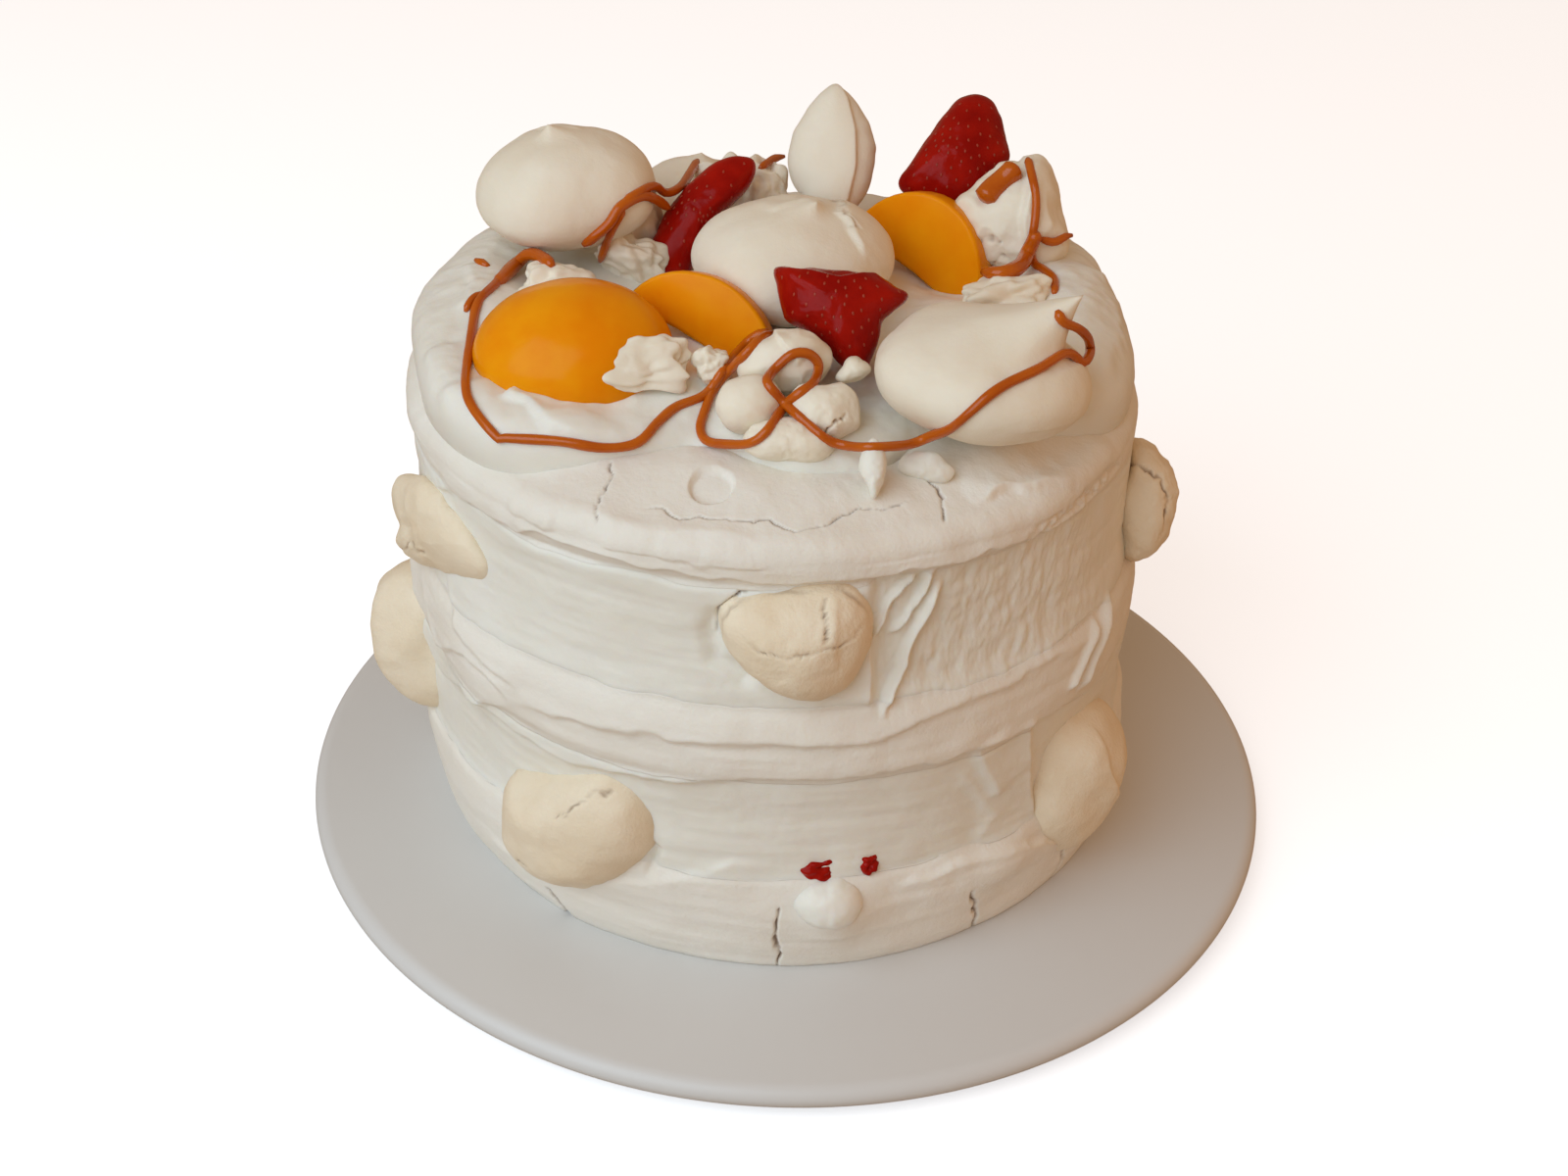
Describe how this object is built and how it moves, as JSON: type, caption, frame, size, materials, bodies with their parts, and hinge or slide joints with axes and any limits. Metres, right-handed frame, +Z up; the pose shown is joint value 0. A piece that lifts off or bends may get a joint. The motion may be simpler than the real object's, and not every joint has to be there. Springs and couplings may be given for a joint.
{
  "type": "meringue layer cake on a plate",
  "caption": "Round cake of baked meringue discs and whipped cream on a flat plate, topped with meringue kisses, peach and strawberry slices and a caramel drizzle",
  "frame": {"origin": "middle of the plate's underside, on the surface that it stands on", "axes": "+Z up, +Y away from the side that the picture shows, +X to the right of that side"},
  "size_m": [0.28, 0.28, 0.1978],
  "materials": {
    "plate": "glazed pale grey ceramic, satin",
    "cream": "whipped cream, soft sheen",
    "meringue": "baked meringue, chalky",
    "baked_meringue": "meringue baked to a pale tan, chalky",
    "peach": "wet fruit flesh",
    "strawberry": "wet red fruit with seeds",
    "caramel": "glossy amber caramel"
  },
  "bodies": {
    "root": {"bottom_meringue_disc": "meringue", "broken_meringue_1": "meringue", "broken_meringue_2": "meringue", "broken_meringue_3": "meringue", "broken_meringue_4": "meringue", "broken_meringue_right": "meringue", "filling_strawberry_1": "strawberry", "filling_strawberry_2": "strawberry", "filling_strawberry_3": "strawberry", "filling_strawberry_4": "strawberry", "filling_strawberry_5": "strawberry", "kiss_back": "meringue", "kiss_back_left": "meringue", "kiss_centre": "meringue", "kiss_front_right": "meringue", "kiss_half_standing": "meringue", "lower_cream_layer": "cream", "meringue_crumb_1": "meringue", "meringue_crumb_2": "meringue", "meringue_shard_1": "meringue", "meringue_shard_2": "meringue", "meringue_shard_3": "meringue", "meringue_shard_4": "meringue", "meringue_shard_5": "meringue", "meringue_shard_6": "meringue", "meringue_shard_7": "meringue", "middle_meringue_disc": "meringue", "peach_slice_1": "peach", "peach_slice_2": "peach", "peach_slice_3": "peach", "plate": "plate", "side_kiss_01": "baked_meringue", "side_kiss_02": "baked_meringue", "side_kiss_03": "baked_meringue", "side_kiss_04": "baked_meringue", "side_kiss_05": "baked_meringue", "side_kiss_06": "baked_meringue", "side_kiss_07": "baked_meringue", "side_kiss_08": "baked_meringue", "side_kiss_09": "baked_meringue", "side_kiss_10": "baked_meringue", "side_kiss_11": "baked_meringue", "strawberry_back": "strawberry", "strawberry_centre": "strawberry", "strawberry_left": "strawberry", "top_cream": "cream", "top_meringue_disc": "meringue", "upper_cream_layer": "cream"}
  },
  "joints": []
}
